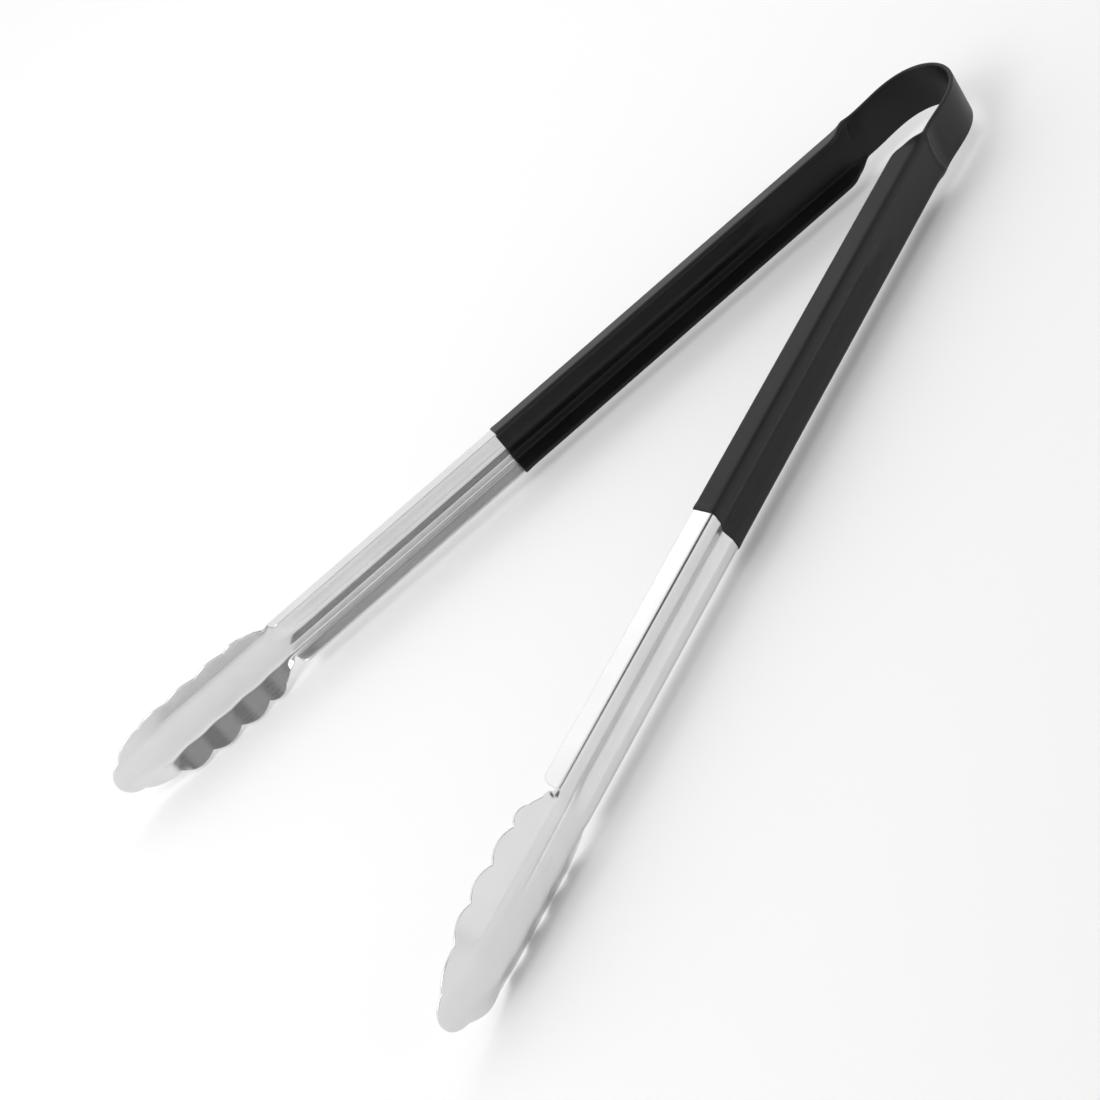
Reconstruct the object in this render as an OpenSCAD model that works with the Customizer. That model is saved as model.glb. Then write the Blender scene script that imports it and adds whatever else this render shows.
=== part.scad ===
// Spring loaded kitchen tongs: one pressed steel strip with a bow at the top,
// two channel arms, two scalloped jaws, and a dipped soft coat over the bow and handles.
// The tongs lie on edge. Z runs across the strip, the arms run towards -Y, X is the spread.
// The origin is the centre of the round of the bow, at the middle of the strip's width.

/* [Sheet and coat] */
// Thickness of the stainless sheet
sheet_t = 1.0; // [0.8:0.1:1.2]
// Thickness of the dipped coat on each face
coat_t = 0.4; // [0.3:0.1:0.8]

/* [Bow] */
// Radius of the round of the bow, to the middle of the sheet
bow_r = 16.4; // [15:0.1:18]
// Width of the flat strip in the bow
strip_w = 19.4; // [18:0.2:20]
// Straight strip below the round, on each side
leg_len = 14.4; // [12:0.2:18]
// Angle of that strip from the centre line
leg_splay = 10; // [5:1:12]
// Short flared strip between the leg and the start of the flanges
flare_len = 6.8; // [5:0.2:9]
// Angle of the flared strip from the centre line
flare_splay = 24; // [16:1:28]
// Angle of each arm from the centre line, at rest
splay = 14; // [12:1:16]

/* [Arms] */
// Length from the start of the flanges to the tip of the jaw
arm_len = 371.6; // [360:1:380]
// Half width of the channel's outer face, at the corners
face_half = 8.9; // [8.5:0.1:9.5]
// Depth of the channel, from its outer face to its free edges
channel_d = 7.5; // [6.5:0.5:8.5]
// Angle by which the flanges lean outward
flange_lean = 13; // [5:1:15]
// Bend radius of the channel's corners, to the middle of the sheet
corner_r = 2.4; // [1.5:0.1:3]
// Length over which the flanges rise to their full depth
taper_len = 13; // [10:1:16]
// Distance from the start of the flanges to the end of the coat
coat_end = 181; // [160:1:200]
// Distance from the start of the flanges to the neck of the jaw
neck_at = 292; // [288:1:294]

/* [Bead] */
// Depth of the stiffening bead pressed into the face
bead_d = 1.2; // [0.8:0.1:1.5]
// Width of the bead at the face
bead_w = 6; // [5:0.5:7]
// Distance from the start of the flanges to the start of the bead
bead_at = 50; // [30:5:80]

/* [Jaws] */
// Distance between two notches of the scalloped edge
scallop_pitch = 13.8; // [13:0.1:14]
// How far each scallop bulges past its notches
scallop_h = 1.9; // [1.5:0.1:2.2]
// Half width of the jaw at the notches
notch_half = 15; // [14:0.5:16]
// Angle of the jaw's flanks from its floor
flank_angle = 34; // [30:1:38]
// Half width of the jaw's flat floor
floor_half = 7.4; // [6.5:0.1:8]
// Angle by which the nose of the jaw turns inward
nose_tilt = 8; // [5:1:10]

/* [Spring] */
// Half angle of the crown segment, which stays still
crown_half = 25; // [20:1:30]
// Clearance between strip segments that flex against each other
flex_gap = 0.3; // [0.2:0.1:0.4]

/* [Hidden] */
$fn = 96;

steel = [0.80, 0.80, 0.81];
vinyl = [0.13, 0.13, 0.13];
bend_end = 90 - leg_splay;                 // angle from the crown to the end of the round
gap_angle = flex_gap / 2 / bow_r * 180 / PI;
// Places on the right side, at the middle of the sheet: end of the round, start and end of the flare.
leg_top = bow_r * [sin(bend_end), cos(bend_end)];
flare_top = leg_top + leg_len * [sin(leg_splay), -cos(leg_splay)];
shoulder_at = flare_top + flare_len * [sin(flare_splay), -cos(flare_splay)];
flange_gap = 3;                            // notch between a flange and the jaw's flank
flange_round = 5;                          // round on the flange's lower corner
tip_r = 8.4;                               // round tip lobe
nose_at = arm_len - tip_r - scallop_pitch - 3;
bend_step = 15;                            // degrees between points of a bend

// ---------------------------------------------------------------- sections
// Points along a bend of mid radius r that starts at p heading along angle a and turns by t degrees.
function bend_pts(p, r, a, t) = [for (i = [0 : ceil(abs(t) / bend_step)])
    let (s = sign(t), b = a + t * i / ceil(abs(t) / bend_step))
    p + r * s * [sin(b) - sin(a), cos(a) - cos(b)]];
function unit(v) = v / norm(v);
function normal(v) = [-v[1], v[0]];
// Direction of the path at point i, averaged over its two sides.
function heading(p, i) = unit(unit(p[min(i + 1, len(p) - 1)] - p[min(i, len(p) - 2)])
    + unit(p[max(i, 1)] - p[max(i - 1, 0)]));
// Length of the offset at point i, so that both sides keep the same thickness.
function mitre(p, i) = let (d = unit(p[max(i, 1)] - p[max(i - 1, 0)])) 1 / (heading(p, i) * d);
function side(p, h) = [for (i = [0 : len(p) - 1]) p[i] + normal(heading(p, i)) * h * mitre(p, i)];
function flip(p) = [for (i = [len(p) - 1 : -1 : 0]) p[i]];
function mirrored(p) = [for (i = [len(p) - 1 : -1 : 0]) [p[i][0], -p[i][1]]];
// Path with both ends lengthened by e.
function longer(p, e) = let (n = len(p) - 1) concat([p[0] + unit(p[0] - p[1]) * e],
    [for (i = [1 : n - 1]) p[i]], [p[n] + unit(p[n] - p[n - 1]) * e]);
// Closed outline of a sheet of half thickness h along path p.
function sheet_outline(p, h) = concat(side(p, h), flip(side(p, -h)));

// Half of the bead, from its middle to the flat face. X is the depth (inward is -X), Y the half width.
function bead_half(d) = d == 0 ? [[0, 0]] : [[-d, 0], [-d, bead_w / 2 - 2 * d + 0.6], [0, bead_w / 2]];
// Half of the channel: face, corner, then a flange that leans outward.
function channel_half(d) =
    let (turn = 90 - flange_lean,
         corner = bend_pts([0, face_half - corner_r + 0.5], corner_r, 90, turn),
         last = corner[len(corner) - 1],
         rise = channel_d - sheet_t / 2 + last[0])
    concat(bead_half(d), corner, [last + [-rise, rise * tan(flange_lean)]]);
// Half of the jaw's dish: floor, bend, then a flank long enough for any outline.
function dish_half(d, floor_w) =
    let (corner = bend_pts([0, floor_w], 6, 90, flank_angle), last = corner[len(corner) - 1])
    concat(bead_half(d), corner, [last + 12 * [-sin(flank_angle), cos(flank_angle)]]);
// Both halves joined at the middle.
function whole(half) =
    concat(mirrored(half), half[0][1] == 0 ? [for (i = [1 : len(half) - 1]) half[i]] : half);

// A section extruded along the arm from distance a to distance b.
module along(a, b) {
    translate([0, -a, 0])
        rotate([90, 0, 0])
            linear_extrude(b - a)
                children();
}
module core_section(path) {
    polygon(sheet_outline(path, sheet_t / 2));
}
module coated_section(path) {
    polygon(sheet_outline(longer(path, coat_t), sheet_t / 2 + coat_t));
}
module coat_section(path) {
    difference() {
        coated_section(path);
        core_section(path);
    }
}

// ---------------------------------------------------------------- places
// Puts a child that is drawn with its face at X = 0, running along -Y, at a place on the right side.
module from_point(at, angle) {
    translate([at[0], at[1], 0])
        rotate([0, 0, angle])
            children();
}
module on_arm() {
    from_point(shoulder_at, splay)
        children();
}
module left_side() {
    mirror([1, 0, 0])
        children();
}

// ---------------------------------------------------------------- bow
// Part of the round of the bow, between two angles from the crown.
module bow_arc(from, to, grow) {
    rotate([0, 0, 90 - to])
        rotate_extrude(angle = to - from, $fn = 180)
            translate([bow_r - sheet_t / 2 - grow, -strip_w / 2 - grow])
                square([sheet_t + 2 * grow, strip_w + 2 * grow]);
}
// The coat is the grown arc without the strip.
module bow_arc_coat(from, to) {
    difference() {
        bow_arc(from, to, coat_t);
        bow_arc(from, to, 0);
    }
}
// Flat strip along -Y, between two distances.
module flat_strip(a, b, grow) {
    translate([-sheet_t / 2 - grow, -b, -strip_w / 2 - grow])
        cube([sheet_t + 2 * grow, b - a, strip_w + 2 * grow]);
}
module leg_strip(grow) {
    from_point(leg_top, leg_splay)
        flat_strip(flex_gap / 2, leg_len - flex_gap / 2, grow);
}
// The flared strip, with a round line where it meets the face of the arm.
module flare_strip(grow) {
    from_point(flare_top, flare_splay)
        flat_strip(flex_gap / 2, flare_len, grow);
    translate([shoulder_at[0], shoulder_at[1], 0])
        cylinder(d = sheet_t + 2 * grow, h = strip_w + 2 * grow, center = true, $fn = 48);
}
module bow_crown() {
    color(steel)
        bow_arc(-crown_half + gap_angle, crown_half - gap_angle, 0);
}
module bow_crown_coat() {
    color(vinyl)
        bow_arc_coat(-crown_half + gap_angle, crown_half - gap_angle);
}
module bow_bend() {
    color(steel)
        bow_arc(crown_half + gap_angle, bend_end - gap_angle, 0);
}
module bow_bend_coat() {
    color(vinyl)
        bow_arc_coat(crown_half + gap_angle, bend_end - gap_angle);
}
module bow_leg() {
    color(steel)
        leg_strip(0);
}
module bow_leg_coat() {
    color(vinyl)
        difference() {
            leg_strip(coat_t);
            leg_strip(0);
        }
}

// ---------------------------------------------------------------- arm
// Side view of the flanges' diagonal start, seen along Z. grow thickens it for the coat.
module taper_mask(grow) {
    start_d = 1.6;
    translate([0, 0, -channel_d * 3])
        linear_extrude(channel_d * 6)
            polygon([[3, 0], [-start_d - grow, 0], [-channel_d - grow * 1.5, -taper_len + 1],
                [-channel_d - grow * 1.5, -taper_len], [3, -taper_len]]);
}
module tapered_channel(grow) {
    intersection() {
        along(0, taper_len)
            if (grow > 0)
                coated_section(whole(channel_half(0)));
            else
                core_section(whole(channel_half(0)));
        taper_mask(grow);
    }
}
module shoulder_shape(grow) {
    flare_strip(grow);
    on_arm()
        tapered_channel(grow);
}
module shoulder() {
    color(steel)
        shoulder_shape(0);
}
module shoulder_coat() {
    color(vinyl)
        difference() {
            shoulder_shape(coat_t);
            shoulder_shape(0);
        }
}
module handle() {
    color(steel)
        on_arm() {
            along(taper_len, bead_at)
                core_section(whole(channel_half(0)));
            along(bead_at, coat_end)
                core_section(whole(channel_half(bead_d)));
        }
}
module grip() {
    color(vinyl)
        on_arm() {
            along(taper_len, bead_at)
                coat_section(whole(channel_half(0)));
            along(bead_at, coat_end)
                coat_section(whole(channel_half(bead_d)));
        }
}
// The flanges stop short of the jaw with a round lower corner, and only the face runs on.
module flange_end_cut() {
    cut_x = -channel_d - 2;
    reach = cut_x + corner_r;
    end_y = -neck_at + flange_gap;
    translate([0, 0, -channel_d * 3])
        linear_extrude(channel_d * 6) {
            translate([cut_x, -neck_at - 1])
                square([-reach, flange_gap + 1]);
            difference() {
                translate([cut_x, end_y - 0.01])
                    square([flange_round + 2, flange_round]);
                translate([-channel_d + flange_round, end_y + flange_round])
                    circle(flange_round);
            }
        }
}
module shank() {
    color(steel)
        on_arm()
            difference() {
                along(coat_end, neck_at)
                    core_section(whole(channel_half(bead_d)));
                flange_end_cut();
            }
}

// ---------------------------------------------------------------- jaw
// Notches, from the first one after the neck to the last one before the tip lobe,
// as [distance along the arm, half width].
last_notch = arm_len - tip_r + 1.6;
NOTCHES = [for (back = [4 : -1 : 0]) [last_notch - back * scallop_pitch,
    back > 1 ? notch_half : (back == 1 ? notch_half - 1.5 : tip_r - 0.1)]];
neck_corner = [neck_at, face_half + 0.3];
first_crest = [neck_at + 8, notch_half - 1];
// Points of the arc that bulges by h past the line from a to b, without b.
function scallop(a, b, h) =
    let (chord = norm(b - a),
         r = (chord * chord / 4 + h * h) / (2 * h),
         out = normal(unit(b - a)),
         centre = (a + b) / 2 - out * (r - h),
         half = asin(chord / 2 / r),
         steps = 8)
    [for (i = [0 : steps - 1]) let (t = half * (2 * i / steps - 1))
        centre + r * (unit(b - a) * sin(t) + out * cos(t))];
// Quarter of the round tip, from the last notch to the middle.
function tip_arc() =
    let (first = acos((last_notch - arm_len + tip_r) / tip_r), steps = 10)
    [for (i = [0 : steps]) let (t = first * (1 - i / steps))
        [arm_len - tip_r, 0] + tip_r * [cos(t), sin(t)]];
half_outline = concat([neck_corner], scallop(first_crest, NOTCHES[0], scallop_h),
    [for (i = [0 : 3]) each scallop(NOTCHES[i], NOTCHES[i + 1], scallop_h)], tip_arc());
module jaw_outline() {
    polygon(concat(half_outline, mirrored(half_outline)));
}
// The nose is the same dish, turned inward about a line across the jaw.
module dish() {
    crease_end = neck_at + 32;
    along(neck_at, crease_end)
        core_section(whole(dish_half(0.5, floor_half)));
    along(crease_end, nose_at + 0.5)
        core_section(whole(dish_half(0, floor_half)));
    translate([0, -nose_at, 0])
        rotate([0, 0, -nose_tilt])
            along(-0.5, arm_len - nose_at + 2)
                core_section(whole(dish_half(0, floor_half)));
}
module jaw() {
    color(steel)
        on_arm()
            intersection() {
                dish();
                translate([6, 0, 0])
                    rotate([0, -90, 0])
                        linear_extrude(30)
                            rotate(-90)
                                jaw_outline();
            }
}

bow_crown();
bow_crown_coat();
bow_bend();  // right_bow_bend
bow_bend_coat();  // right_bow_bend_coat
bow_leg();  // right_bow_leg
bow_leg_coat();  // right_bow_leg_coat
shoulder();  // right_shoulder
shoulder_coat();  // right_shoulder_coat
handle();  // right_handle
grip();  // right_grip
shank();  // right_shank
jaw();  // right_jaw
left_side() bow_bend();  // left_bow_bend
left_side() bow_bend_coat();  // left_bow_bend_coat
left_side() bow_leg();  // left_bow_leg
left_side() bow_leg_coat();  // left_bow_leg_coat
left_side() shoulder();  // left_shoulder
left_side() shoulder_coat();  // left_shoulder_coat
left_side() handle();  // left_handle
left_side() grip();  // left_grip
left_side() shank();  // left_shank
left_side() jaw();  // left_jaw
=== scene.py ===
"""Looks of the spring loaded kitchen tongs: one pressed steel strip and its dipped coat.

The strip is worked out as one sheet. A place on it is (l, s) in millimetres: l runs along the right
arm from the start of the flanges (negative up the leg and round the bow), s runs across the sheet
from its middle. The left side is the mirror image of the right.
"""

import math

import bpy
import numpy as np
from mathutils import Matrix, Vector


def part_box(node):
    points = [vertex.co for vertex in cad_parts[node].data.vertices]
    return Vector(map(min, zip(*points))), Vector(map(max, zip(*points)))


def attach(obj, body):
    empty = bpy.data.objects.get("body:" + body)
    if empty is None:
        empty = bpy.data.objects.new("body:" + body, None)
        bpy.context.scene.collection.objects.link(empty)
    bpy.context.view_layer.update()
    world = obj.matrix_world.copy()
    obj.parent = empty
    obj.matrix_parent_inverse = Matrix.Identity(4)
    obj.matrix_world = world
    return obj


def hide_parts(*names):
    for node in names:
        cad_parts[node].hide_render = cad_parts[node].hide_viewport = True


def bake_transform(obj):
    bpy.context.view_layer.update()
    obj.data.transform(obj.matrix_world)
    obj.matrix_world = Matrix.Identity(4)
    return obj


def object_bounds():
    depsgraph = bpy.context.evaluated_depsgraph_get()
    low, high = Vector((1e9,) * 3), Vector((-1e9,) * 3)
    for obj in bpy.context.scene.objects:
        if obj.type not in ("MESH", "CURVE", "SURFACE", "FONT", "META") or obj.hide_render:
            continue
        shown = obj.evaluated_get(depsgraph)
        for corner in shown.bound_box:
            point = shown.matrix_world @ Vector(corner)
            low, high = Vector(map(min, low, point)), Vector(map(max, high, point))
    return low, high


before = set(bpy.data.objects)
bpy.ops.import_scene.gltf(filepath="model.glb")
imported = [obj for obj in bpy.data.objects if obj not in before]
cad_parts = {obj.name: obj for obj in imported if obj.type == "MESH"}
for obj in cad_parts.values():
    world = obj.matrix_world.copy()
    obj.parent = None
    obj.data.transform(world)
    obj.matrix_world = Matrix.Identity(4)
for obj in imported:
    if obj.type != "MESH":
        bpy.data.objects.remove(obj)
cad_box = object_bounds()

MM = 0.001

# ------------------------------------------------------------------ sizes, in millimetres
SHEET_T = 1.0            # steel sheet
COAT_T = 0.4             # dipped coat on each face
STRIP_W = 19.4           # flat strip in the bow
SPLAY = math.radians(14)
BOW_LEN = 43.9           # along the strip, from the crown to the start of the flanges
BOW_CURVE = (0.0658, -0.0053, -0.1107)   # curvature along the bow: constant, linear and square parts
CROWN_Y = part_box("bow_crown")[1][1] / MM - SHEET_T / 2
COAT_END = 181.0
TAPER_END = 11.5         # flanges reach their full depth here
FLANGE_END = 290.8       # lower end of the flanges
FLANGE_ROUND = 3.5
NECK = 291.6
ARM_END = 371.6
FLANGE_S = 16.2          # half width of the sheet, laid flat, at the flanges
NECK_S = 9.7
CORNER_S = (7.2, 10.4)   # the channel's corner bend starts and ends here
CORNER_TURN = math.radians(77)
UPPER_S = (4.5, 9.0)     # the jaw's soft upper bend starts and ends here
LOWER_S = (5.8, 9.8)     # the jaw's tighter lower bend, cupped a little into each scallop
LOWER_WAVE = 0.5
UPPER_TURN = math.radians(27)
LOWER_TURN = math.radians(34.5)
PITCH = 13.8             # from scallop to scallop
SCALLOP_H = 1.9
TIP_R = 8.4
LAST_NOTCH = ARM_END - TIP_R + 1.6
NOTCH_HALF = 15.0
FIRST_CREST = (NECK + 9.0, NOTCH_HALF - 1.0)   # the scallop nearest the neck peaks here
BEAD_START = 50.0        # the bead in the channel's face, under the coat at first
BEAD_HALF = 4.6
BEAD_D = 1.6
CREASE_END = NECK + 38
CREASE_D = 0.34
CREASE_Z = (2.9, 1.9)    # height of the crease at the neck and at its end
NOSE_START = 339.5       # the jaw's end curls towards the other jaw from here
NOSE_RISE = 3.6
FLARE = math.radians(10)   # between the end of the bow and the face of the arm
FLARE_SAG = 2.2          # how far the crease between them sags down the arm
FLARE_RIDGE = 0.28       # how far that crease stands out
EDGE_R = 0.42            # rounding of the steel's edges
COAT_EDGE_R = 0.85
LIP_SWELL = 0.10         # extra thickness of the coat at its end


# ------------------------------------------------------------------ the sheet as a formula
def smooth(x, a, b):
    """0 before a, 1 after b, with an even rise between."""
    t = np.clip((x - a) / (b - a), 0.0, 1.0)
    return t * t * (3 - 2 * t)


def bow_heading(run):
    """Angle of the strip below level, at a distance from the crown. It curls, straightens and flares."""
    t = run / BOW_LEN
    constant, linear, square = BOW_CURVE
    curl = run * (constant + linear * t / 2 + square * t * t / 3)
    return curl + (math.pi / 2 - SPLAY - curl) * smooth(run, BOW_LEN - 1.2, BOW_LEN)


def bow_line():
    """Places along the bow from the crown to the start of the flanges, and their distances."""
    run = np.linspace(0.0, BOW_LEN, 1200)
    heading = bow_heading(run)
    middle = (heading[1:] + heading[:-1]) / 2
    step = run[1] - run[0]
    x = np.concatenate([[0], np.cumsum(np.cos(middle)) * step])
    y = CROWN_Y - np.concatenate([[0], np.cumsum(np.sin(middle)) * step])
    return run, x, y


BOW_RUN, BOW_X, BOW_Y = bow_line()
shoulder = np.array([BOW_X[-1], BOW_Y[-1]])
arm_way = np.array([math.sin(SPLAY), -math.cos(SPLAY)])
arm_out = np.array([math.cos(SPLAY), math.sin(SPLAY)])


def spine(l):
    """Middle line of the strip at l: its place and the outward direction, both in the XY plane."""
    if l >= 0:
        return shoulder + l * arm_way, arm_out
    run = BOW_LEN + l
    heading = float(bow_heading(np.array(run)))
    at = np.array([np.interp(run, BOW_RUN, BOW_X), np.interp(run, BOW_RUN, BOW_Y)])
    if run < 0:
        at[0] = run
    return at, np.array([math.sin(heading), math.cos(heading)])


def shoulder_crease(l, z):
    """Extra depth where the flared strip meets the face along a line that sags down the arm."""
    sag = FLARE_SAG * (1 - (z / 10.0) ** 2)
    fade = float(smooth(l, -9.0, -3.0))
    slope = math.tan(FLARE)
    ridge = FLARE_RIDGE * np.exp(-((l - sag) / 0.8) ** 2) * smooth(9.6 - np.abs(z), 0.0, 1.5)
    return slope * fade * (np.logaddexp(0, (sag - l) * 3) - np.logaddexp(0, (-l) * 3)) / 3 - ridge


def notches():
    """Places of the notches in the scalloped edge, as (l, half width)."""
    found = []
    for back in (4, 3, 2, 1, 0):
        half = {0: TIP_R - 0.1, 1: NOTCH_HALF - 1.5}.get(back, NOTCH_HALF)
        found.append((LAST_NOTCH - back * PITCH, half))
    return found


def arc_height(l, a, b, rise):
    """Half width at l of the arc that bulges by rise past the line from notch a to notch b."""
    (la, wa), (lb, wb) = a, b
    chord = math.hypot(lb - la, wb - wa)
    r = (chord ** 2 / 4 + rise ** 2) / (2 * rise)
    along = np.array([lb - la, wb - wa]) / chord
    out = np.array([-along[1], along[0]])
    centre = np.array([(la + lb) / 2, (wa + wb) / 2]) - out * (r - rise)
    return centre[1] + math.sqrt(max(r ** 2 - (l - centre[0]) ** 2, 0.0))


def jaw_half(l):
    """Half width of the jaw's outline, seen from its outer side."""
    points = notches()
    crest_l, crest_half = FIRST_CREST
    if l <= crest_l:
        start = NECK + 0.6
        neck_half = NECK_S - 0.3
        rise = (l - start) / (crest_l - start)
        return neck_half + (crest_half + 0.4 - neck_half) * max(rise, 0.0) ** 0.9
    if l <= points[0][0]:
        return arc_height(l, FIRST_CREST, points[0], SCALLOP_H)
    for a, b in zip(points, points[1:]):
        if l <= b[0]:
            return arc_height(l, a, b, SCALLOP_H)
    return math.sqrt(max(TIP_R ** 2 - (l - ARM_END + TIP_R) ** 2, 0.0))


def scallop_phase(l):
    """1 at a notch, 0 in the middle of a scallop."""
    return 0.5 + 0.5 * math.cos(2 * math.pi * (l - LAST_NOTCH) / PITCH)


def bend_zone(l, upper):
    """How far the sheet turns at its corner, and where across it the bend starts and ends."""
    if l < FLANGE_END:
        return CORNER_TURN * float(smooth(l, -5.0, 9.0)), *CORNER_S
    mix = float(smooth(l, FLANGE_END, NECK + 5))
    if upper:
        turn = UPPER_TURN * (1 - 0.7 * float(smooth(l, ARM_END - 34, ARM_END - 10)))
        zone, wave, narrow = UPPER_S, 0.0, 1 - 0.2 * float(smooth(l, ARM_END - 34, ARM_END))
    else:
        turn = LOWER_TURN * (1 - 0.75 * float(smooth(l, ARM_END - 25, ARM_END - 12)))
        zone, wave = LOWER_S, LOWER_WAVE * scallop_phase(l) * float(smooth(l, NECK + 4, NECK + 12))
        narrow = 1 - 0.6 * float(smooth(l, ARM_END - 24, ARM_END - 4))
    start = CORNER_S[0] * (1 - mix) + (zone[0] * narrow + wave) * mix
    end = CORNER_S[1] * (1 - mix) + (zone[1] * narrow + wave) * mix
    return CORNER_TURN * (1 - mix) + turn * mix, start, end


def bead(l, z):
    """Depth of the bead pressed into the face, a shallow trough with a round bottom."""
    grow = float(smooth(l, BEAD_START - 8, BEAD_START + 14))
    fade = 1 - float(smooth(l, FLANGE_END - 10, NECK + 4))
    wall = (np.sqrt(z * z + 1.0) - 1.0) / (math.sqrt(BEAD_HALF ** 2 + 1.0) - 1.0)
    return BEAD_D * (grow * fade) * (1 - np.clip(wall, 0.0, 1.0))


def crease(l, z):
    """Depth of the mark that the bead leaves on the jaw's outer face as it runs out."""
    fade = 1 - float(smooth(l, CREASE_END - 20, CREASE_END))
    deep = CREASE_D * float(smooth(l, FLANGE_END - 8, NECK)) * fade
    at = np.interp(l, (NECK, CREASE_END), CREASE_Z)
    return deep * (1 - smooth(np.abs(z - at), 0.1, 0.9))


def nose(l):
    """How far the middle of the jaw rises towards the other jaw at l."""
    t = max((l - NOSE_START) / (ARM_END - NOSE_START), 0.0)
    return NOSE_RISE * t ** 1.6


def across(l, s):
    """Depth (inward) and height of the sheet's middle surface at the places s across it."""
    fine = np.linspace(0.0, max(float(np.max(np.abs(s))), 1e-3), 240)
    step = fine[1] - fine[0]
    d = np.zeros(len(s))
    z = np.zeros(len(s))
    for upper in (True, False):
        turn, start, end = bend_zone(l, upper)
        heading = turn * smooth(fine, start, end)
        middle = (heading[1:] + heading[:-1]) / 2
        part = s >= 0 if upper else s < 0
        d[part] = np.interp(np.abs(s[part]), fine, np.concatenate([[0], np.cumsum(np.sin(middle)) * step]))
        z[part] = np.interp(np.abs(s[part]), fine, np.concatenate([[0], np.cumsum(np.cos(middle)) * step]))
    z *= np.sign(s)
    return d + bead(l, z) + nose(l) + shoulder_crease(l, z), z


def sheet_half(l):
    """Half width of the sheet laid flat, from the bow to the neck, and the same on the jaw's upper side."""
    if l < TAPER_END + 6:
        rise = (FLANGE_S - STRIP_W / 2) / TAPER_END
        start = float(np.logaddexp(0, l * 1.5)) / 1.5
        return STRIP_W / 2 + rise * (start - float(np.logaddexp(0, (l - TAPER_END) * 0.9)) / 0.9)
    if l < FLANGE_END:
        back = FLANGE_END - l
        if back < FLANGE_ROUND:
            return FLANGE_S - FLANGE_ROUND + math.sqrt(FLANGE_ROUND ** 2 - (FLANGE_ROUND - back) ** 2)
        return FLANGE_S
    drop = float(smooth(l, FLANGE_END, FLANGE_END + 0.8))
    if l < NECK:
        return (FLANGE_S - FLANGE_ROUND) * (1 - drop) + NECK_S * drop
    return flat_half(l, jaw_half(l))


def flat_half(l, half, way=1):
    """Distance across the sheet at which its height from the middle is half."""
    s = np.linspace(0.0, 26.0, 400) * way
    z = across(l, s)[1]
    return float(np.interp(half, z * way, s * way))


def lower_half(l):
    """Half width of the sheet laid flat on the lower side."""
    return flat_half(l, jaw_half(l), -1) if l >= NECK else sheet_half(l)


def place(l, s):
    """Points of the middle surface in millimetres, for one l and many s."""
    at, out = spine(l)
    d, z = across(l, s)
    xy = at[None, :] - d[:, None] * out[None, :]
    return np.column_stack([xy, z])


# ------------------------------------------------------------------ meshes
def rim(at, normal, out, half_t, r, steps):
    """Points round one edge, from the face that normal leaves to the other, and how far each is out."""
    quarter = [math.pi / 2 * k / steps for k in range(1, steps + 1)]
    turns = [(1, math.cos(a), math.sin(a)) for a in quarter]
    turns += [(-1, math.sin(a), math.cos(a)) for a in quarter[:-1]]
    points = [at + normal * face * (half_t - r + r * up) + out * (r * over) for face, up, over in turns]
    return points, [r * over for face, up, over in turns]


def loft(name, rows, spans, half_t, edge_r, columns, edge_steps, side):
    """A closed skin of thickness 2 * half_t(l) about the sheet. Each row is one l, with its two edges.

    A row's ring runs over the outer face, round one edge, back over the inner face and round the
    other edge. edge_r is the radius of those edges.
    """
    along_step = 0.05
    across_step = 0.02
    rings = []
    flats = []
    for l, (low, high) in zip(rows, spans):
        t = half_t(l)
        r = min(edge_r, t)
        s = np.linspace(low + r, high - r, columns + 1)
        here = place(l, s)
        along = place(l + along_step, s) - place(l - along_step, s)
        turn = place(l, s + across_step) - place(l, s - across_step)
        normal = np.cross(turn, along)
        normal /= np.linalg.norm(normal, axis=1)[:, None]
        turn /= np.linalg.norm(turn, axis=1)[:, None]
        outer = here + normal * (t - crease(l, here[:, 2]))[:, None]
        inner = here - normal * t
        high_rim, high_out = rim(here[-1], normal[-1], turn[-1], t, r, edge_steps)
        low_rim, low_out = rim(here[0], -normal[0], -turn[0], t, r, edge_steps)
        rings.append([*outer, *high_rim, *inner[::-1], *low_rim])
        flat = [*s, *(s[-1] + v for v in high_out), *s[::-1], *(s[0] - v for v in low_out)]
        flats.append([(l, v) for v in flat])
    return skin(name, np.array(rings), np.array(flats), side)


def skin(name, rings, flats, side):
    """Joins rings of points into a closed mesh, with the flat place of each point as its UV."""
    count, size = rings.shape[:2]
    points = rings.reshape(-1, 3) * MM
    points[:, 0] *= side
    faces = []
    for i in range(count - 1):
        for j in range(size):
            k = (j + 1) % size
            faces.append((i * size + j, i * size + k, (i + 1) * size + k, (i + 1) * size + j))
    faces.append(tuple(range(size))[::-1])
    faces.append(tuple((count - 1) * size + j for j in range(size)))
    if side > 0:
        faces = [f[::-1] for f in faces]
    mesh = bpy.data.meshes.new(name)
    mesh.from_pydata([tuple(p) for p in points], [], faces)
    mesh.update()
    uv = mesh.uv_layers.new(name="sheet")
    flat = flats.reshape(-1, 2) * MM
    for loop in mesh.loops:
        uv.data[loop.index].uv = flat[loop.vertex_index]
    mesh.shade_smooth()
    mesh.set_sharp_from_angle(angle=math.radians(40))
    obj = bpy.data.objects.new(name, mesh)
    bpy.context.scene.collection.objects.link(obj)
    return obj


def spaced(a, b, step):
    """Even places from a to b, no further than step apart."""
    return list(np.linspace(a, b, max(int(math.ceil((b - a) / step)), 1) + 1))


def merged(*lists):
    """Sorted places without near repeats."""
    found = []
    for value in sorted(v for one in lists for v in one):
        if not found or value - found[-1] > 0.04:
            found.append(value)
    return found


# ------------------------------------------------------------------ materials
def new_material(name):
    """A new node material, with its tree and its shader."""
    mat = bpy.data.materials.new(name)
    mat.use_nodes = True
    tree = mat.node_tree
    return mat, tree, tree.nodes["Principled BSDF"]


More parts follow.
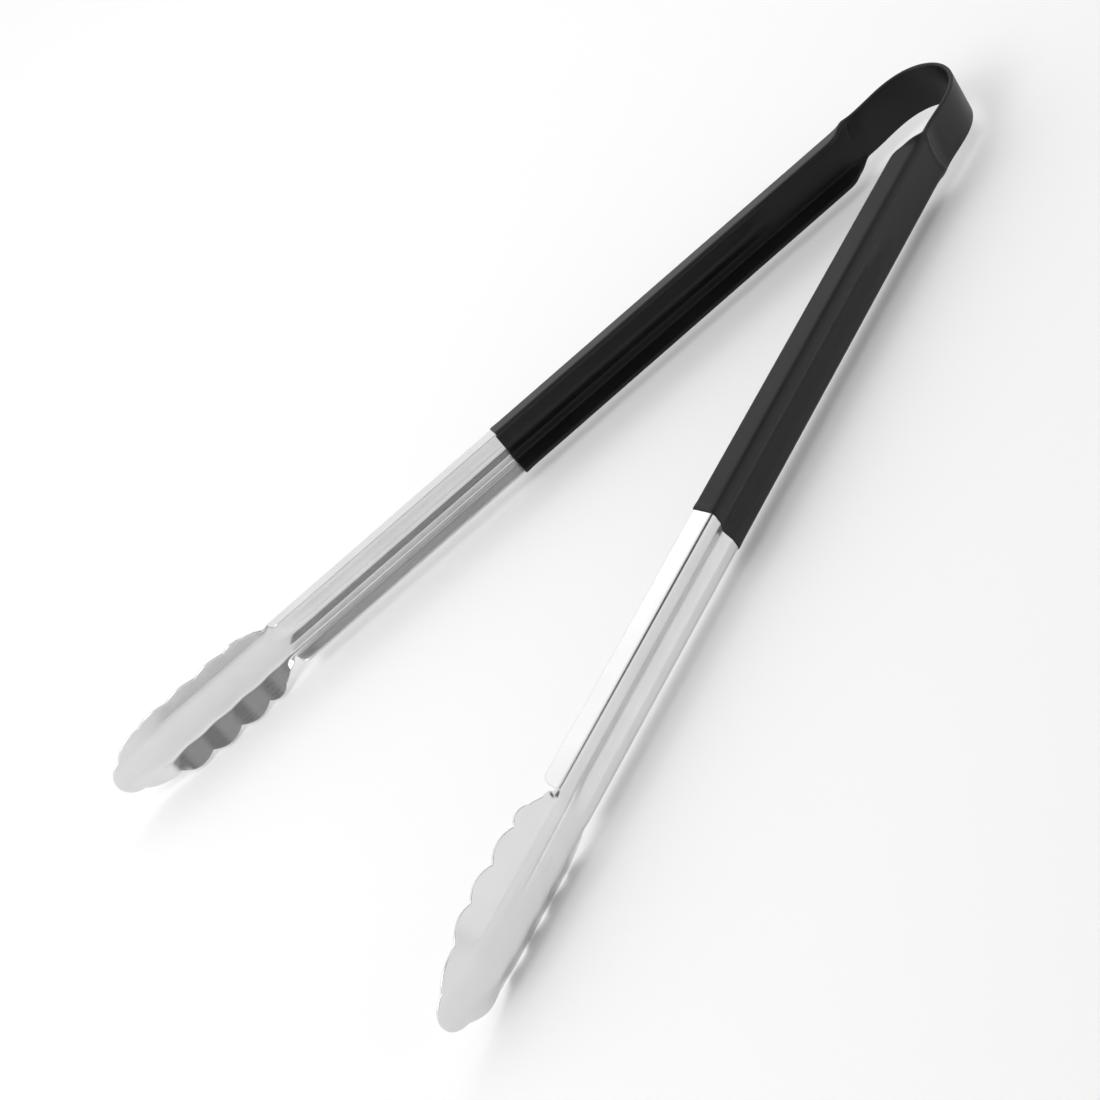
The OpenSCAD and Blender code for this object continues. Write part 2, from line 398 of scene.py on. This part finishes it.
def stretched_noise(tree, scale, detail):
    """Noise drawn out along the sheet, from the flat place of each point."""
    uv = tree.nodes.new("ShaderNodeUVMap")
    uv.uv_map = "sheet"
    mapping = tree.nodes.new("ShaderNodeMapping")
    mapping.inputs["Scale"].default_value = scale
    noise = tree.nodes.new("ShaderNodeTexNoise")
    noise.inputs["Scale"].default_value = 1.0
    noise.inputs["Detail"].default_value = detail
    tree.links.new(uv.outputs["UV"], mapping.inputs["Vector"])
    tree.links.new(mapping.outputs["Vector"], noise.inputs["Vector"])
    return noise


def ramp(tree, source, low, high):
    """Maps the middle of a noise to a range of numbers."""
    node = tree.nodes.new("ShaderNodeMapRange")
    node.inputs["From Min"].default_value = 0.3
    node.inputs["From Max"].default_value = 0.7
    node.inputs["To Min"].default_value = low
    node.inputs["To Max"].default_value = high
    tree.links.new(source, node.inputs["Value"])
    return node.outputs["Result"]


def colour_ramp(tree, source, low, high):
    """Maps the middle of a noise to a colour between low and high."""
    node = tree.nodes.new("ShaderNodeValToRGB")
    node.color_ramp.elements[0].position = 0.3
    node.color_ramp.elements[0].color = (*low, 1)
    node.color_ramp.elements[1].position = 0.7
    node.color_ramp.elements[1].color = (*high, 1)
    tree.links.new(source, node.inputs["Fac"])
    return node.outputs["Color"]


def bump(tree, shader, source, strength, distance):
    """Raises the surface a little where source is high."""
    node = tree.nodes.new("ShaderNodeBump")
    node.inputs["Strength"].default_value = strength
    node.inputs["Distance"].default_value = distance
    tree.links.new(source, node.inputs["Height"])
    tree.links.new(node.outputs["Normal"], shader.inputs["Normal"])


def steel_material():
    """Bright stainless sheet with a fine grain along the arm."""
    mat, tree, shader = new_material("brushed_stainless")
    shader.inputs["Metallic"].default_value = 1.0
    grain = stretched_noise(tree, (12, 6000, 1), 3.0)
    cloud = stretched_noise(tree, (45, 45, 1), 2.0)
    tree.links.new(colour_ramp(tree, cloud.outputs["Fac"], (0.70, 0.70, 0.705), (0.75, 0.75, 0.755)),
                   shader.inputs["Base Color"])
    tree.links.new(ramp(tree, grain.outputs["Fac"], 0.18, 0.28), shader.inputs["Roughness"])
    bump(tree, shader, grain.outputs["Fac"], 0.05, 0.00005)
    return mat


def coat_material():
    """Black dipped vinyl: satin, with a faint orange peel."""
    mat, tree, shader = new_material("dipped_vinyl")
    peel = stretched_noise(tree, (700, 900, 1), 2.0)
    cloud = stretched_noise(tree, (30, 60, 1), 3.0)
    tree.links.new(colour_ramp(tree, cloud.outputs["Fac"], (0.005, 0.005, 0.005), (0.008, 0.008, 0.008)),
                   shader.inputs["Base Color"])
    tree.links.new(ramp(tree, cloud.outputs["Fac"], 0.34, 0.44), shader.inputs["Roughness"])
    shader.inputs["Specular IOR Level"].default_value = 0.3
    bump(tree, shader, peel.outputs["Fac"], 0.22, 0.0001)
    return mat


def floor_material():
    """Pale matt paper."""
    mat, tree, shader = new_material("studio_floor")
    noise = tree.nodes.new("ShaderNodeTexNoise")
    noise.inputs["Scale"].default_value = 3.0
    tree.links.new(colour_ramp(tree, noise.outputs["Fac"], (0.88, 0.88, 0.88), (0.90, 0.90, 0.90)),
                   shader.inputs["Base Color"])
    shader.inputs["Roughness"].default_value = 0.9
    shader.inputs["Specular IOR Level"].default_value = 0.1
    return mat


# ------------------------------------------------------------------ pieces
STEEL_HALF = SHEET_T / 2
COAT_HALF = SHEET_T / 2 + COAT_T


def lip(l):
    """Half thickness of the coat, which ends in a rolled lip on the bare steel."""
    swell = LIP_SWELL * float(smooth(l, COAT_END - 4.0, COAT_END - 1.2))
    back = COAT_END - l
    radius = COAT_T + swell
    if back >= radius:
        return COAT_HALF + swell
    return STEEL_HALF + math.sqrt(max(radius ** 2 - (radius - back) ** 2, 0.0))


def coat_half_width(l):
    """Half width of the coat laid flat, which goes round the steel's edges."""
    return sheet_half(l) + lip(l) - STEEL_HALF


def steel_arm(side, name):
    """The bare channel, the neck and the jaw, as one sheet from just inside the coat to the tip."""
    cusps = [p[0] for p in notches()]
    tip = [ARM_END - TIP_R * (1 - math.cos(math.radians(a))) for a in range(4, 60, 4)]
    rows = merged(spaced(COAT_END - 5, FLANGE_END - 6, 4.0), spaced(FLANGE_END - 6, NECK + 2, 0.2),
                  spaced(NECK + 2, ARM_END - 4, 0.55), cusps, tip)
    rows = [l for l in rows if all(abs(l - c) < 1e-6 or abs(l - c) > 0.15 for c in cusps)]
    spans = [(-lower_half(l), sheet_half(l)) for l in rows]
    return loft(name, rows, spans, lambda l: STEEL_HALF, EDGE_R, columns=110, edge_steps=4, side=side)


def coat_piece(side, name, rows):
    """A stretch of the coated strip."""
    spans = [(-coat_half_width(l), coat_half_width(l)) for l in rows]
    return loft(name, rows, spans, lip, COAT_EDGE_R, columns=56, edge_steps=5, side=side)


def grip(side, name):
    """The coat over the shoulder and the handle."""
    lip_len = 0.7
    lip_rows = [COAT_END - lip_len * (1 - math.sin(math.radians(a))) for a in range(0, 90, 10)]
    rows = merged([SHOULDER_SEAM, SHOULDER_SEAM + 0.05], spaced(SHOULDER_SEAM + 0.4, TAPER_END + 3, 0.4),
                  spaced(TAPER_END + 3, COAT_END - 5, 3.0), spaced(COAT_END - 5, COAT_END - lip_len, 0.5),
                  lip_rows, [COAT_END - 0.01])
    return coat_piece(side, name, rows)


def bow_piece(side, name, start, end):
    """A stretch of the coated bow between two bodies, from the middle of one to the middle of the next."""
    rows = merged([start, start + 0.05], spaced(start + 0.4, end - 0.4, 0.6), [end - 0.05, end])
    return coat_piece(side, name, rows)


def point_at(l, side):
    """Place of the strip's middle line at l, in metres."""
    at = spine(l)[0] * MM
    return (side * at[0], at[1], 0.0)


CROWN_L = -BOW_LEN       # l at the crown of the bow, then between the three flexing lines
BEND_MID = CROWN_L + 15.0
LEG_MID = CROWN_L + 30.0
SHOULDER_SEAM = -4.0

steel = steel_material()
coat = coat_material()


def dress(piece, material):
    """Gives a piece its material."""
    piece.data.materials.append(material)


def build_side(side, word):
    """All pieces of one side of the tongs."""
    arm = steel_arm(side, f"{word}_steel_arm")
    dress(arm, steel)
    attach(arm, f"{word}_arm")
    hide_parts(f"{word}_shank", f"{word}_jaw", f"{word}_handle", f"{word}_shoulder")

    sleeve = grip(side, f"{word}_dipped_grip")
    dress(sleeve, coat)
    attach(sleeve, f"{word}_arm")
    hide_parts(f"{word}_grip", f"{word}_shoulder_coat")

    stretches = (
        (f"{word}_bow_top", CROWN_L, BEND_MID, "crown", f"{word}_bend",
         () if side < 0 else ("bow_crown", "bow_crown_coat")),
        (f"{word}_bow_side", BEND_MID, LEG_MID, f"{word}_bend", f"{word}_leg",
         (f"{word}_bow_bend", f"{word}_bow_bend_coat")),
        (f"{word}_bow_foot", LEG_MID, SHOULDER_SEAM, f"{word}_leg", f"{word}_arm",
         (f"{word}_bow_leg", f"{word}_bow_leg_coat")),
    )
    for name, start, end, body_a, body_b, stands_for in stretches:
        piece = bow_piece(side, name, start, end)
        dress(piece, coat)
        point_at(start, side)
        point_at(end, side)
        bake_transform(piece)
        if stands_for:
            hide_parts(*stands_for)


build_side(1, "right")
build_side(-1, "left")


# ------------------------------------------------------------------ studio
def card(name, size, at, aim, material):
    """A flat card of the studio that faces aim."""
    mesh = bpy.data.meshes.new(name)
    w, h = size[0] / 2, size[1] / 2
    mesh.from_pydata([(-w, -h, 0), (w, -h, 0), (w, h, 0), (-w, h, 0)], [], [(0, 1, 2, 3)])
    obj = bpy.data.objects.new(name, mesh)
    bpy.context.scene.collection.objects.link(obj)
    obj.location = at
    obj.rotation_euler = (Vector(aim) - Vector(at)).to_track_quat("Z", "Y").to_euler()
    mesh.materials.append(material)
    return obj


def softbox(name, size, at, aim, power):
    """A rectangular lamp that faces aim."""
    light = bpy.data.lights.new(name, "AREA")
    light.shape = "RECTANGLE"
    light.size = size[0]
    light.size_y = size[1]
    light.energy = power
    obj = bpy.data.objects.new(name, light)
    bpy.context.scene.collection.objects.link(obj)
    obj.location = at
    obj.rotation_euler = (Vector(aim) - Vector(at)).to_track_quat("-Z", "Y").to_euler()
    return obj


def flag_material(tone):
    """Matt black or grey cloth."""
    mat, tree, shader = new_material("studio_flag")
    noise = tree.nodes.new("ShaderNodeTexNoise")
    tree.links.new(colour_ramp(tree, noise.outputs["Fac"], (tone,) * 3, (tone * 1.1,) * 3),
                   shader.inputs["Base Color"])
    shader.inputs["Roughness"].default_value = 1.0
    return mat


def studio():
    """A white floor and sky. Dark and grey flags beside the lens draw the folds of the bright metal."""
    low = cad_box[0][2]
    floor = card("floor", (12, 12), (0, 0, low - 0.0004), (0, 0, 5), floor_material())
    floor.rotation_euler = (0, 0, 0)
    world = bpy.data.worlds.new("studio")
    bpy.context.scene.world = world
    world.use_nodes = True
    background = world.node_tree.nodes["Background"]
    background.inputs["Color"].default_value = (1, 1, 1, 1)
    background.inputs["Strength"].default_value = 1.02
    middle = (0, -0.25, 0)
    flags = (
        ("flag_lens", (1.10, 0.86), (0.80, -0.56, 0.68), 0.04),
        ("grey_lens", (0.30, 0.50), (0.72, -0.53, 0.61), 0.34),
        ("flag_side", (0.60, 0.50), (0.42, 0.35, 0.70), 0.02),
    )
    for name, size, at, tone in flags:
        card(name, size, at, middle, flag_material(tone)).visible_camera = False
    softbox("key", (0.7, 0.7), (-0.42, 0.05, 0.85), middle, 0.4)
    softbox("fill", (1.0, 0.7), (0.38, -1.05, 0.95), middle, 8.6)
    softbox("rim", (0.4, 0.16), (-0.35, 0.28, 0.74), (0.045, -0.10, 0), 0.4)
    bpy.context.scene.view_settings.view_transform = "Standard"


def camera():
    """Placed by its direction and distance from a point on the middle line of the tongs."""
    target = np.array([0.0, -181.1, 0.0])
    azimuth, elevation, roll = (math.radians(a) for a in (20.74, 36.42, 40.05))
    distance = 825.7
    toward = np.array([math.cos(elevation) * math.cos(azimuth), -math.cos(elevation) * math.sin(azimuth),
                       math.sin(elevation)])
    down_arm = np.array([0.0, -1.0, 0.0])
    down_arm -= down_arm @ toward * toward
    down_arm /= np.linalg.norm(down_arm)
    other = np.cross(-toward, down_arm)
    c, s = -math.sin(roll), math.cos(roll)
    x = c * down_arm - s * other
    y = -(s * down_arm + c * other)
    at = (target + distance * toward) * MM
    data = bpy.data.cameras.new("camera")
    data.sensor_width = 36.0
    data.lens = 75.33
    data.shift_x, data.shift_y = -0.07145, -0.08082
    data.clip_start = 0.01
    data.clip_end = 50
    obj = bpy.data.objects.new("camera", data)
    bpy.context.scene.collection.objects.link(obj)
    rows = [(x[i], y[i], toward[i], at[i]) for i in range(3)]
    obj.matrix_world = Matrix((*rows, (0, 0, 0, 1)))
    bpy.context.scene.camera = obj


studio()
camera()
